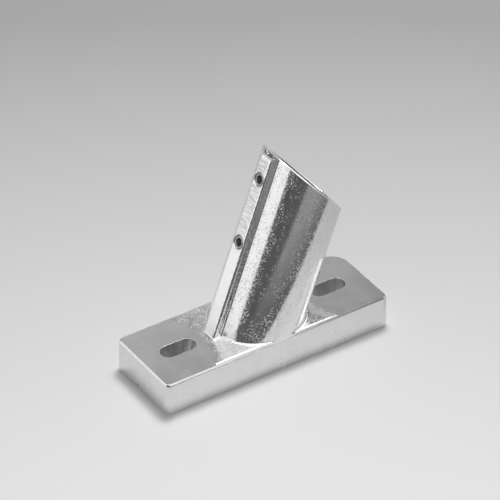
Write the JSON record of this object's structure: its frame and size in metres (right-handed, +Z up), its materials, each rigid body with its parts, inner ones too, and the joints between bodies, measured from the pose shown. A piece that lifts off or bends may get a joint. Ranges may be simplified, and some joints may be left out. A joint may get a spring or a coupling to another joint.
{
  "type": "angle flange",
  "caption": "Cast base plate with a leaning pipe socket, clamped by recessed set screws, and a bolt slot at each end.",
  "frame": {"origin": "middle of the plate's underside", "axes": "+X along the plate, the way the socket leans; +Y across the plate; +Z up from the underside"},
  "size_m": [0.181, 0.0636, 0.1577],
  "materials": {
    "cast_metal": "bright tumbled casting, with milled ends, pad and rim",
    "screw_steel": "dark satin steel"
  },
  "bodies": {
    "root": {"flange_casting": "cast_metal", "set_screw_lower": "screw_steel", "set_screw_upper": "screw_steel"}
  },
  "joints": []
}
